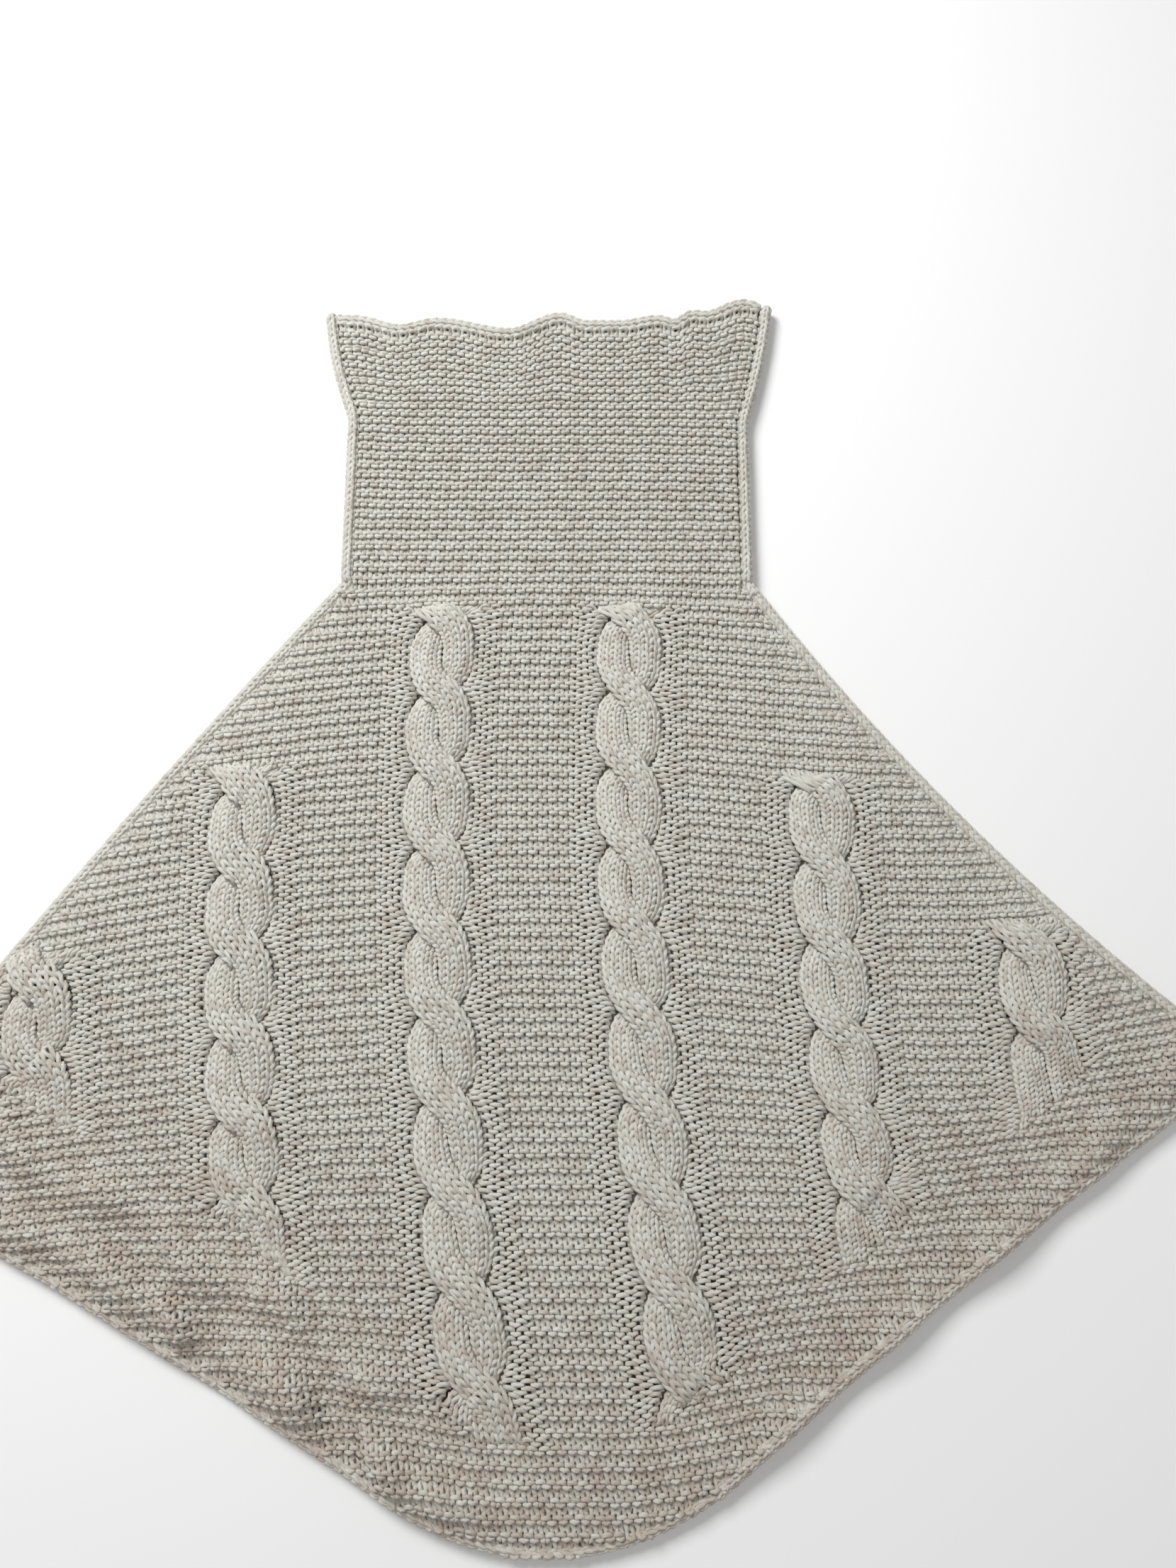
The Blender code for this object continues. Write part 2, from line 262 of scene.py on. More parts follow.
def spin(name, strands, material, body, sides=6):
    """One piece made of lengths of yarn: a closed round tube along each strand's points."""
    points = np.concatenate(strands)
    counts = np.array([len(strand) for strand in strands])
    starts = np.cumsum(counts) - counts
    index = np.arange(len(points))
    is_first = np.zeros(len(points), bool)
    is_first[starts] = True
    is_last = np.zeros(len(points), bool)
    is_last[starts + counts - 1] = True
    before = points[np.where(is_first, index, index - 1)]
    after = points[np.where(is_last, index, index + 1)]
    along = unit(after - before)
    side = unit(np.cross(along, (0.0, 0.0, 1.0)))
    over = np.cross(side, along)

    step = np.linalg.norm(points - before, axis=1)
    total = np.cumsum(step)
    strand_of = np.repeat(np.arange(len(strands)), counts)
    length_along = total - total[starts][strand_of] + step[starts][strand_of]
    seed = np.round(points[starts][:, 1] * 400)[strand_of] + strand_of * 0.001
    # The yarn's own dyed fibre plus painted shade that darkens it towards the hem.
    marl_and_painted_shade = marl_along(points[:, 0] + 0.35 * length_along, seed) + painted_hem_shade(points[:, 0], points[:, 1])

    swell = 1.0 + 0.05 * np.sin(length_along * 690.0 + seed) + 0.04 * np.sin(length_along * 1710.0)
    turn = 2 * math.pi * np.arange(sides) / sides
    radius = (YARN_THICKNESS / 2 * swell)[:, None, None]
    ring = side[:, None] * np.cos(turn)[:, None] + over[:, None] * np.sin(turn)[:, None]
    corners = (points[:, None] + ring * radius).reshape(-1, 3)

    near = index[~is_last]
    k = np.arange(sides)
    after_k = (k + 1) % sides
    quads = np.stack(
        [
            near[:, None] * sides + k,
            (near[:, None] + 1) * sides + k,
            (near[:, None] + 1) * sides + after_k,
            near[:, None] * sides + after_k,
        ],
        axis=2,
    ).reshape(-1, 4)
    first_caps = index[is_first][:, None] * sides + k
    last_caps = index[is_last][:, None] * sides + k[::-1]
    caps = np.concatenate([first_caps, last_caps])

    mesh = bpy.data.meshes.new(name)
    mesh.vertices.add(len(corners))
    mesh.vertices.foreach_set("co", corners.ravel().astype(np.float32))
    loops = np.concatenate([quads.ravel(), caps.ravel()])
    mesh.loops.add(len(loops))
    mesh.loops.foreach_set("vertex_index", loops.astype(np.int32))
    sizes = np.concatenate([np.full(len(quads), 4), np.full(len(caps), sides)])
    mesh.polygons.add(len(sizes))
    mesh.polygons.foreach_set("loop_start", (np.cumsum(sizes) - sizes).astype(np.int32))
    mesh.polygons.foreach_set("loop_total", sizes.astype(np.int32))
    mesh.polygons.foreach_set("use_smooth", np.ones(len(sizes), bool))

    yarn_map = mesh.uv_layers.new(name="along_and_round")
    run = (length_along / TWIST_LENGTH)[loops // sides]
    quad_round = np.stack([k, k, k + 1, k + 1], axis=1) / sides
    around = np.concatenate(
        [np.tile(quad_round.ravel(), len(near)), np.zeros(caps.size)]
    )
    yarn_map.data.foreach_set("uv", np.stack([run, around], axis=1).ravel().astype(np.float32))
    flat_map = mesh.uv_layers.new(name="OFBake")
    low, high = corners.min(0), corners.max(0)
    flat = (corners[loops, :2] - low[:2]) / (high[:2] - low[:2])
    flat_map.data.foreach_set("uv", (0.01 + 0.98 * flat).ravel().astype(np.float32))
    fleck = mesh.attributes.new("marl_and_painted_shade", "FLOAT", "POINT")
    fleck.data.foreach_set("value", np.repeat(marl_and_painted_shade, sides).astype(np.float32))
    mesh.update(calc_edges=True)
    mesh.validate()
    mesh.materials.append(material)

    piece = bpy.data.objects.new(name, mesh)
    bpy.context.scene.collection.objects.link(piece)
    if body is not None:
        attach(piece, body)
    return piece


# The lie of the fabric. Columns of stitches run up the garment and rows run across it. Rows are
# counted from the collar's foot, and they are closer together in the collar, which was pressed.
def plan_outline(node):
    """The edge of a flat piece as it is seen from above, point after point."""
    shape = bmesh.new()
    shape.from_mesh(frame["nodes"][node].data)
    bmesh.ops.remove_doubles(shape, verts=shape.verts, dist=1e-6)
    shape.faces.ensure_lookup_table()
    neighbours = {}
    for edge in shape.edges:
        if sum(face.normal.z > 0.5 for face in edge.link_faces) == 1:
            a, b = edge.verts
            neighbours.setdefault(a, []).append(b)
            neighbours.setdefault(b, []).append(a)
    start = next(iter(neighbours))
    outline, here, last = [start], neighbours[start][0], start
    while here is not start:
        outline.append(here)
        here, last = next(v for v in neighbours[here] if v is not last), here
    outline = np.array([v.co[:2] for v in outline])
    shape.free()
    return outline


def inside(x, y, outline):
    """Which places lie within an outline."""
    within = np.zeros(np.shape(x), bool)
    for (x0, y0), (x1, y1) in zip(outline, np.roll(outline, -1, axis=0)):
        if y0 != y1:
            crosses = (y0 > y) != (y1 > y)
            within ^= crosses & (x < x0 + (y - y0) * (x1 - x0) / (y1 - y0))
    return within


def ease(t):
    t = np.clip(t, 0.0, 1.0)
    return t * t * (3 - 2 * t)


STITCH_WIDTH = 0.0060
collar_low, collar_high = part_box("front_collar_lower")
NECK_X = (collar_low.x + collar_high.x) / 2
NECK_Y = collar_low.y - 0.0003
FOLD_Y = collar_high.y + 0.0003
FRONT_LEVEL = sum(v.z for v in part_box("front_panel")) / 2
BACK_LEVEL = sum(v.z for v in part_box("back_panel")) / 2

panel_outline = plan_outline("front_panel")
left_tip = int(panel_outline[:, 0].argmin())
right_tip = int(panel_outline[:, 0].argmax())


def ways_round(outline, start, end):
    """The outline's points from one of its points to another, both ways round. The way that runs
    along the hem comes first."""
    count = len(outline)
    onwards = [(start + i) % count for i in range((end - start) % count + 1)]
    backwards = [(start - i) % count for i in range((start - end) % count + 1)]
    return sorted((outline[onwards], outline[backwards]), key=lambda way: way[:, 1].min())


hem_line, shoulder_line = ways_round(panel_outline, left_tip, right_tip)
if shoulder_line[0, 0] > shoulder_line[-1, 0]:
    shoulder_line = shoulder_line[::-1]


def offset_line(line, distance):
    """A line moved to the left of the way it runs."""
    along = np.gradient(line, axis=0)
    left = unit(np.stack([-along[:, 1], along[:, 0]], axis=1))
    return line + left * distance


def ridge_pitch(y):
    """How far apart two ridges of garter stitch lie, at a height above the collar's foot."""
    heights = (-0.50, -0.40, -0.25, -0.10, -0.03, 0.00, 0.05, 0.10, 0.20)
    pitches = (0.0088, 0.0089, 0.0085, 0.0082, 0.0081, 0.0076, 0.0070, 0.0065, 0.0058)
    return np.interp(y, heights, pitches)


COLLAR_ROWS = 62
BODY_ROWS = 150
heights_up = [0.0]
for _ in range(COLLAR_ROWS):
    heights_up.append(heights_up[-1] + float(ridge_pitch(heights_up[-1])) / 2)
heights_down = [0.0]
for _ in range(BODY_ROWS):
    heights_down.append(heights_down[-1] - float(ridge_pitch(heights_down[-1])) / 2)
row_numbers = np.arange(-BODY_ROWS, COLLAR_ROWS + 1)
row_heights = np.array(heights_down[:0:-1] + heights_up)


def row_height(row):
    return np.interp(row, row_numbers, row_heights)


def column_lean(y):
    """The columns drift to the right towards the hem's point."""
    below = 0.032 * ((np.minimum(y, 0.0) + 0.121) / 0.362) ** 2 - 0.008
    return np.where(y > 0.0, -0.0044 * np.clip(1 - y / 0.100, 0, 1), below)


def row_sag(column, y):
    """Rows hang lower towards the wings, most on the left, and rise at the right hem."""
    left = np.clip(-column, 0, None) / 50
    sag_left = -0.035 * left**1.8 * ease((y + 0.47) / 0.24) * ease((0.02 - y) / 0.06)
    right = np.clip(column, 0, 80) / 80
    sag_right = -0.015 * np.sin(math.pi * right) ** 2
    sag_right *= ease((y + 0.42) / 0.17) * ease((0.02 - y) / 0.06)
    return sag_left + sag_right


def above_hem(x, y):
    """How far a place lies above the hem line, measured straight down the garment."""
    return y - np.interp(x, hem_line[:, 0], hem_line[:, 1])


def plain_place(column, row):
    """Where a stitch lies before cables and edges pull at it, on the floor's plan."""
    y = row_height(row)
    x = NECK_X + column_lean(y) + STITCH_WIDTH * column
    y = y + row_sag(column, y) + NECK_Y
    near_hem = ease(1 - above_hem(x, y) / 0.095)
    pulled_right = ease((x - NECK_X - 0.04) / 0.10)
    pulled_left = ease((-0.01 - x) / 0.09) * ease((x + 0.33) / 0.16)
    return x, y + (0.011 * pulled_right + 0.008 * pulled_left) * near_hem


# The cables. Each is a rope of eight knit stitches between two beds of two purl stitches. Every
# twelfth row its right half was knitted across in front of its left half.
CABLE_ROWS = 12
FIRST_CROSSING = -6
CABLE_PERIOD = 0.0495
STRAND_SWING = 0.0103
STRAND_HALF = 0.0098
STRAND_RISE = 0.0028
BED_EDGE = 0.0344
cables = {}
for side, sign in (("left", -1), ("right", 1)):
    for name, column, before, count in (("inner", 10, 0, 10), ("middle", 30, 2, 6), ("outer", 50, 4, 2)):
        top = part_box(f"{side}_{name}_cable")[1].y
        first = FIRST_CROSSING - CABLE_ROWS * before
        last = first - CABLE_ROWS * (count - 1)
        cables[f"{side}_{name}_cable"] = (sign * column, top, first, last)


def border_depth(x):
    """The garter border along the hem is deeper on the left than on the right."""
    away = x - NECK_X
    return 0.047 + 0.033 * ease(-away / 0.20) + 0.002 * ease(away / 0.20)


def cable_pull(offset, phase, half):
    """How a cable moves a stitch that is offset from its middle. phase is 0 at a crossing and 1
    at the next one up, and half is -1 or 1 in the cable's left or right strand, or else 0."""
    bend = np.sin(math.pi * phase)
    crossing = np.cos(math.pi * phase)
    rest = 1 - np.abs(bend)
    swing = np.sign(bend) * (1 - rest**1.6)
    slope = half * STRAND_SWING * 1.6 * rest**0.6 * crossing * math.pi / CABLE_PERIOD
    in_front = -half * crossing

    # A strand's stitches stay square to the way that the strand runs
    in_strand = (offset - 2 * half) / 2
    out = STRAND_HALF * in_strand / np.sqrt(1 + slope**2)
    strand_x = half * STRAND_SWING * swing + out
    strand_y = -slope * out * (0.35 + 0.65 * ease(in_front + 0.6))
    plump = 0.0030 * (1 - np.clip(np.abs(in_strand), 0, 1) ** 2)
    strand_z = 0.0004 + plump + STRAND_RISE * in_front

    # The purl stitches beside it are drawn in towards each crossing
    far = np.abs(offset)
    edge = 0.0122 + 0.0070 * (1 - rest**1.6)
    bed = np.where(far > 6, BED_EDGE + (far - 6) * 0.0064, edge + (far - 4) / 2 * (BED_EDGE - edge))
    past_edge = np.abs(bed - edge)
    bed_y = -0.0030 * np.sin(2 * math.pi * phase) * np.exp(-past_edge / 0.008)
    bed_z = np.where(far > 7, 0.0, -0.0006 * np.exp(-past_edge / 0.006))

    x = np.where(half != 0, strand_x, np.sign(offset) * bed)
    y = np.where(half != 0, strand_y, bed_y)
    z = np.where(half != 0, strand_z, bed_z)
    return x - STITCH_WIDTH * offset, y, z


# Folds and waves. The left hem lies rumpled, with a long uneven fold along it that ends in a tuck
# near the point, and the right hem lies in slow waves. The back below lets hollows sink only a
# little.
# Each fold: its middle, its direction in degrees, its half length and half width, its height
FOLDS = (
    (-0.150, -0.296, -42, 0.022, 0.010, 0.0150),
    (-0.116, -0.318, -55, 0.018, 0.007, -0.0130),
    (-0.092, -0.334, -50, 0.018, 0.008, 0.0110),
    (-0.250, -0.238, -38, 0.026, 0.009, 0.0095),
    (-0.212, -0.262, -60, 0.018, 0.007, 0.0105),
    (-0.196, -0.284, -40, 0.022, 0.007, -0.0070),
    (-0.290, -0.226, -34, 0.024, 0.007, -0.0060),
    (-0.305, -0.214, -30, 0.034, 0.009, 0.0080),
    (-0.060, -0.352, -20, 0.030, 0.009, 0.0070),
    (0.138, -0.318, 40, 0.036, 0.012, 0.0050),
    (0.196, -0.275, 50, 0.034, 0.012, 0.0060),
    (0.262, -0.222, 45, 0.034, 0.012, 0.0062),
    (0.322, -0.166, 50, 0.030, 0.011, 0.0052),
    (0.372, -0.120, 60, 0.026, 0.010, 0.0050),
)
HIGHEST_FOLD = 0.0145
DEEPEST_FOLD = 0.0022


def rumple(x, y):
    height = np.zeros(np.shape(x))
    for fold_x, fold_y, degrees, half_length, half_width, rise in FOLDS:
        turn = math.radians(degrees)
        along = (x - fold_x) * math.cos(turn) + (y - fold_y) * math.sin(turn)
        across = -(x - fold_x) * math.sin(turn) + (y - fold_y) * math.cos(turn)
        height += rise * np.exp(-((along / half_length) ** 2) - (across / half_width) ** 2)
    from_hem = 0.82 * above_hem(x, y)
    long_fold = np.exp(-(((from_hem - 0.040 - 0.006 * np.sin(x * 70.0)) / 0.0085) ** 2))
    height += 0.0085 * (0.62 + 0.38 * np.sin(x * 118.0 + 0.8)) * long_fold * ease((-0.03 - x) / 0.05)
    limit = np.where(height > 0, HIGHEST_FOLD, DEEPEST_FOLD)
    height = limit * np.tanh(height / limit)
    slow = np.sin(x * 31.0 + 1.3) * np.cos(y * 27.0 + 0.4) + np.sin(x * 17.0 - y * 23.0)
    return height + 0.0004 * slow


def edge_drop(x, y):
    """Fabric curls down at the hem's edge and at the shoulder seams."""
    at_hem = 0.0030 * np.exp(-(above_hem(x, y) + 0.0145) / 0.0045)
    past_neck = np.abs(x - NECK_X) > 0.1365
    below_seam = np.interp(x, shoulder_line[:, 0], shoulder_line[:, 1]) - y
    at_seam = 0.0026 * np.exp(-(below_seam + 0.004) / 0.0050) * past_neck
    return np.clip(at_hem, 0, 0.0042) + np.clip(at_seam, 0, 0.0036)


def hand_made(x, y):
    """Small unevenness of hand knitting, in x and y."""
    dx = 0.00022 * np.sin(x * 511 + 1.9 * np.sin(y * 437)) + 0.0003 * np.sin(x * 173 + y * 229)
    dy = 0.00020 * np.sin(y * 593 + 2.3 * np.sin(x * 389)) + 0.0003 * np.sin(x * 197 - y * 151)
    return dx, dy


def lay_front(column, level, depth, stitch, row):
    """Where yarn of the front lies. column and level say where it runs, and stitch and row are
    the numbers of the stitch that it belongs to."""
    x, y = plain_place(column, level)
    z = np.zeros(np.shape(x))
    flat_x, flat_y = x, y
    clear = above_hem(flat_x, flat_y) - border_depth(flat_x)
    for middle, top, first, last in cables.values():
        # Past its first and its last crossing a cable's strands run on side by side
        phase = (level - FIRST_CROSSING) / CABLE_ROWS - (row - FIRST_CROSSING) // CABLE_ROWS
        if row >= first:
            phase = np.minimum((level - first) / CABLE_ROWS, 0.5)
        elif row < last:
            phase = np.maximum(1 - (last - level) / CABLE_ROWS, 0.5)
        offset = column - middle
        near = np.abs(offset) < 10
        strength = near * ease((top - flat_y) / 0.010) * ease(clear / 0.014 + 0.5)
        own = stitch - middle
        half = np.where((own >= -4) & (own < 0), -1, np.where((own >= 0) & (own < 4), 1, 0))
        pull_x, pull_y, pull_z = cable_pull(offset, phase, half)
        x = x + strength * pull_x
        y = y + strength * pull_y
        z = z + strength * pull_z * ease(clear / 0.045 + 0.15)
    shake_x, shake_y = hand_made(x, y)
    z = z + FRONT_LEVEL + depth + rumple(x, y) - edge_drop(x, y)
    return x + shake_x, y + shake_y, z


# Each stitch is a loop. Its foot and its head turn to the back of a knit stitch and to the front
# of a purl one, and its legs go the other way, through the loop of the row below.
STITCH_POINTS = 10
KNIT_BULGE = 0.25
GARTER_BULGE = 0.19
BUMP_DEPTH = 0.00130
LEG_DEPTH = 0.00085
GARTER_LEG = -0.0009

FARTHEST = 76
columns = np.arange(-FARTHEST, FARTHEST)
faces_row, faces_column = np.meshgrid(row_numbers, columns, indexing="ij")
stitch_x, stitch_y = plain_place(faces_column + 0.5, faces_row)
front_faces = np.where(faces_row % 2 == 0, 1, -1)
for middle, top, *_ in cables.values():
    offset = faces_column + 0.5 - middle
    within = (stitch_y < top) & (above_hem(stitch_x, stitch_y) > border_depth(stitch_x))
    front_faces[(np.abs(offset) < 6) & within] = -1
    front_faces[(np.abs(offset) < 4) & within] = 1
back_faces = np.where(faces_row % 2 == 0, -1, 1)


def knit(row, first, last, faces, pitch):
    """The yarn of one row from its first column up to last: for each of its points, the column,
    row and depth where it lies, and the stitch it belongs to."""
    here = faces[row - row_numbers[0], first - columns[0] - 1 : last - columns[0] + 1]
    above = faces[row + 1 - row_numbers[0], first - columns[0] : last - columns[0]]
    own = here[1:-1].astype(float)
    above = above.astype(float)
    foot_left = -BUMP_DEPTH * (here[:-2] + here[1:-1]) / 2
    foot_right = -BUMP_DEPTH * (here[1:-1] + here[2:]) / 2
    stacked = own == above
    leg_low = np.where(stacked, LEG_DEPTH * own, GARTER_LEG)
    leg_high = np.where(stacked, LEG_DEPTH * above, GARTER_LEG)
    head = -BUMP_DEPTH * above
    round_bar = np.where(stacked & (own > 0), 0.5, 0.82)
    depth = np.stack(
        [
            foot_left,
            round_bar * foot_left + (1 - round_bar) * leg_low,
            leg_low,
            leg_high,
            round_bar * head + (1 - round_bar) * leg_high,
            head,
            round_bar * head + (1 - round_bar) * leg_high,
            leg_high,
            leg_low,
            round_bar * foot_right + (1 - round_bar) * leg_low,
        ],
        axis=1,
    )
    depth = np.append(depth.ravel(), foot_right[-1])
    depth = np.where(depth > 0, 1.3, 0.85) * depth
    stitches = np.arange(first, last)
    t = np.arange(STITCH_POINTS) / STITCH_POINTS
    t = np.append((stitches[:, None] + t).ravel(), last)
    in_knit = stacked & (own > 0)
    knit_below = np.append(np.repeat(in_knit, STITCH_POINTS), in_knit[-1])
    bulge = np.where(knit_below, KNIT_BULGE, GARTER_BULGE)
    column = t + bulge * np.sin(4 * math.pi * t)
    wave = np.cos(2 * math.pi * t)
    wave = np.where(knit_below, wave, np.sign(wave) * np.abs(wave) ** 0.55)
    reach = 0.5 + np.where(knit_below, 0.00115, 0.00140) / pitch
    level = row - reach * wave
    stitch = np.append(np.repeat(stitches, STITCH_POINTS), last - 1)
    return column, level, depth, stitch


def row_ends(row, within, place):
    """The columns, not whole numbers, between which a row lies within the fabric's outline."""
    column = np.linspace(columns[0] + 1, columns[-1] - 1, 3001)
    x, y = place(column, np.full(column.shape, float(row)), 0.0, np.floor(column), row)[:2]
    found = column[within(x, y)]
    return (found[0], found[-1]) if len(found) else None


def settle_nothing(x, y, z):
    return x, y, z


def knit_run(row, first, last, ends, place, faces, settle=settle_nothing):
    """The yarn of one row from one whole column to another. ends are the places, in columns,
    where the fabric's edges lie, or None where the row goes on past the run."""
    pitch = float(ridge_pitch(row_height(row))) / 2
    column, level, depth, stitch = knit(row, first, last, faces, pitch)
    left, right = ends
    if left is not None:
        column = column + (left - round(left)) * np.exp(-(column - round(left)) / 3)
    if right is not None:
        column = column + (right - round(right)) * np.exp((column - round(right)) / 3)
    return np.stack(settle(*place(column, level, depth, stitch, row)), axis=1)


# The body's outer outline takes in the hem's edge. A chain closes that edge, thin on the left and
# at the point and wider on the right, so that the rows end inside it. At the shoulders the rows
# reach out over the seams.
cast_on_low, cast_on_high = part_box("front_cast_on_edge")
HEM_EDGE = 0.0123
NARROW_CHAIN = 0.0042
WIDE_CHAIN = 0.0056
SEAM_COVER = 0.0040


def outer_hem(depth_left, depth_right):
    share = ease((hem_line[:, 0] - cast_on_high.x + 0.02) / 0.03)
    return offset_line(hem_line, -(depth_left + share * (depth_right - depth_left))[:, None])


rows_end = outer_hem(HEM_EDGE - NARROW_CHAIN, HEM_EDGE - WIDE_CHAIN)
garment_outline = np.concatenate([offset_line(shoulder_line, SEAM_COVER), rows_end[::-1]])
left_tip_y = panel_outline[left_tip, 1]
right_tip_y = panel_outline[right_tip, 1]


def in_garment(x, y):
    return inside(x, y, garment_outline)


def knit_body(place, faces, zones):
    """The rows of one layer of the body. What lies outside the panel goes to the hem's edge."""
    strands = {name: [] for name, first, last in zones}
    bands = {"left": [], "cast_on": [], "right": []}
    for row in range(-BODY_ROWS + 1, 0):
        ends = row_ends(row, in_garment, place)
        if ends is None:
            continue
        first, last = round(ends[0]), round(ends[1])
        inner = row_ends(row, in_panel, place)
        if inner is None:
            if last > first:
                bands["cast_on"].append(knit_run(row, first, last, ends, place, faces))
            continue
        end_x, end_y = place(np.array(ends), np.full(2, float(row)), 0.0, np.array(ends), row)[:2]
        panel_first = round(inner[0]) if end_y[0] < left_tip_y else first
        panel_last = round(inner[1]) if end_y[1] < right_tip_y else last
        for name, zone_first, zone_last in zones:
            start, end = max(panel_first, zone_first), min(panel_last, zone_last)
            if end > start:
                strands[name].append(knit_run(row, start, end, ends, place, faces))
        if panel_first > first:
            part = "cast_on" if end_x[0] > cast_on_low.x else "left"
            bands[part].append(knit_run(row, first, panel_first, ends, place, faces))
        if last > panel_last:
            part = "cast_on" if end_x[1] < cast_on_high.x else "right"
            bands[part].append(knit_run(row, panel_last, last, ends, place, faces))
    return strands, bands


def in_panel(x, y):
    return inside(x, y, panel_outline)


# The front of the body, knitted in one from the hem's point up: garter stitch between and beside
# the cables, and the two purl stitches at each side of a cable. Here each strip is a piece, and
# a cable's two strands are cut apart at its middle, because they cross.
front_zones = (
    ("front_wing_left", -FARTHEST, -54),
    ("cable_rope_left_outer", -54, -50),
    ("cable_rope_left_outer", -50, -46),
    ("front_ground_left_outer", -46, -34),
    ("cable_rope_left_middle", -34, -30),
    ("cable_rope_left_middle", -30, -26),
    ("front_ground_left_inner", -26, -14),
    ("cable_rope_left_inner", -14, -10),
    ("cable_rope_left_inner", -10, -6),
    ("front_ground_centre", -6, 6),
    ("cable_rope_right_inner", 6, 10),
    ("cable_rope_right_inner", 10, 14),
    ("front_ground_right_inner", 14, 26),
    ("cable_rope_right_middle", 26, 30),
    ("cable_rope_right_middle", 30, 34),
    ("front_ground_right_outer", 34, 46),
    ("cable_rope_right_outer", 46, 50),
    ("cable_rope_right_outer", 50, 54),
    ("front_wing_right", 54, FARTHEST),
)
front_strands, front_bands = knit_body(lay_front, front_faces, front_zones)
for name, strands in front_strands.items():
    if name.startswith("cable"):
        rope = spin(name, strands, oatmeal_wool, "poncho_body", sides=8)
        side, place_name = name.split("_")[2:]
        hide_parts(f"{side}_{place_name}_cable")
    else:
        spin(name, strands, oatmeal_wool, "poncho_body")
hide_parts("front_panel")


# The back of the body: the same outline in plain garter stitch, lying face down.
def lay_back(column, level, depth, stitch, row):
    x, y = plain_place(column, level)
    shake_x, shake_y = hand_made(x + 0.31, y)
    return x + shake_x, y + shake_y, BACK_LEVEL + 0.8 * depth


back_zones = (
    ("back_wing_left", -FARTHEST, -44),
    ("back_ground_left_outer", -44, -31),
    ("back_ground_left_middle", -31, -19),
    ("back_ground_left_inner", -19, -7),
    ("back_ground_centre", -7, 5),
    ("back_ground_right_inner", 5, 17),
    ("back_ground_right_middle", 17, 29),
    ("back_ground_right_outer", 29, 42),
    ("back_wing_right", 42, FARTHEST),
)
back_strands, back_bands = knit_body(lay_back, back_faces, back_zones)
for name, strands in back_strands.items():
    spin(name, strands, oatmeal_wool, "poncho_body", sides=5)
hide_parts("back_panel")


# The collar: garter stitch that goes on from the body, in two layers. Its upper half turns down
# over the lower one, so all of it bends at the fold. Its top edge stands in uneven scallops.
TOP_EDGE = (
    (-0.155, 0.195), (-0.133, 0.194), (-0.102, 0.187), (-0.076, 0.192), (-0.027, 0.184),
    (0.008, 0.196), (0.025, 0.190), (0.049, 0.190), (0.075, 0.194), (0.086, 0.191),
    (0.099, 0.198), (0.107, 0.197), (0.133, 0.206), (0.155, 0.200),
)
collar_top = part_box("front_bind_off")[1].y - NECK_Y
bind_off_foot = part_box("front_bind_off")[0].y - NECK_Y
FOLD_REACH = 0.014
fold_start = (NECK_X, FOLD_Y - FOLD_REACH, 0.0)
fold_end = (NECK_X, FOLD_Y + FOLD_REACH, 0.0)


def top_edge(x):
    """The height of the collar's top edge, eased from one scallop's point to the next."""
    places, heights = np.array(TOP_EDGE).T
    places = places + NECK_X
    at = np.clip(np.searchsorted(places, x) - 1, 0, len(places) - 2)
    share = ease((x - places[at]) / (places[at + 1] - places[at]))
    return heights[at] + share * (heights[at + 1] - heights[at])


def settle_collar(x, y, z):
    """The collar's rows follow its top edge more and more as they come near to it."""
    height = y - NECK_Y
    lift = (top_edge(x) - collar_top) * ease((height - 0.105) / (collar_top - 0.105))
    across = (x - NECK_X) / 0.14
    drift = 0.0035 * across * np.exp(-(((height - 0.09) / 0.05) ** 2)) * across**2
    return x, y + lift - drift, z


collar_outline = np.concatenate([plan_outline("front_collar_lower"), plan_outline("front_collar_upper")])
collar_right = collar_outline[collar_outline[:, 0] > NECK_X]
collar_right = collar_right[np.argsort(collar_right[:, 1])]
collar_rise = collar_right[-1] - collar_right[-4]
collar_missing = (NECK_Y + collar_top - collar_right[-1, 1]) / collar_rise[1]
collar_corner = collar_right[-1] + collar_rise * collar_missing
collar_right = np.concatenate([collar_right, [collar_corner]])


def in_collar(x, y):
    half = np.interp(y, collar_right[:, 1], collar_right[:, 0] - NECK_X)
    return np.abs(x - NECK_X) < half


def lay_collar_front(column, level, depth, stitch, row):
    x, y = plain_place(column, level)
    shake_x, shake_y = hand_made(x, y)
    return x + shake_x, y + shake_y, FRONT_LEVEL + 0.0004 + depth


def knit_collar(rows, place, faces):
    strands = []
    for row in rows:
        ends = row_ends(row, in_collar, place)
        first, last = round(ends[0]), round(ends[1])
        strands.append(knit_run(row, first, last, ends, place, faces, settle_collar))
    return strands


fold_row = int(np.searchsorted(row_heights, FOLD_Y - NECK_Y)) - BODY_ROWS
last_row = int(np.searchsorted(row_heights, bind_off_foot)) - BODY_ROWS
for layer, place, faces, sides in (
    ("front", lay_collar_front, front_faces, 6),
    ("back", lay_back, back_faces, 5),
):
    for part, rows in (("lower", range(0, fold_row)), ("upper", range(fold_row, last_row))):
        name = f"{layer}_collar_{part}_knit"
        strands = knit_collar(rows, place, faces)
        piece = spin(name, strands, oatmeal_wool, None, sides)
        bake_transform(piece, "poncho_body", "collar_turndown", start=fold_start, end=fold_end)
        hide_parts(f"{layer}_collar_{part}")


# Seams. Front and back are joined along the shoulders and up the collar's sides by a column of
# chain stitches that stands up like a cord, with a groove between it and the fabric.
def even_line(line, spacing):
    """The same line with points at even distances, and their number."""
    steps = np.linalg.norm(np.diff(line, axis=0), axis=1)
    distance = np.concatenate([[0.0], np.cumsum(steps)])
    count = max(2, round(distance[-1] / spacing) + 1)
    even = np.linspace(0.0, distance[-1], count)
    return np.stack([np.interp(even, distance, line[:, i]) for i in range(line.shape[1])], axis=1)


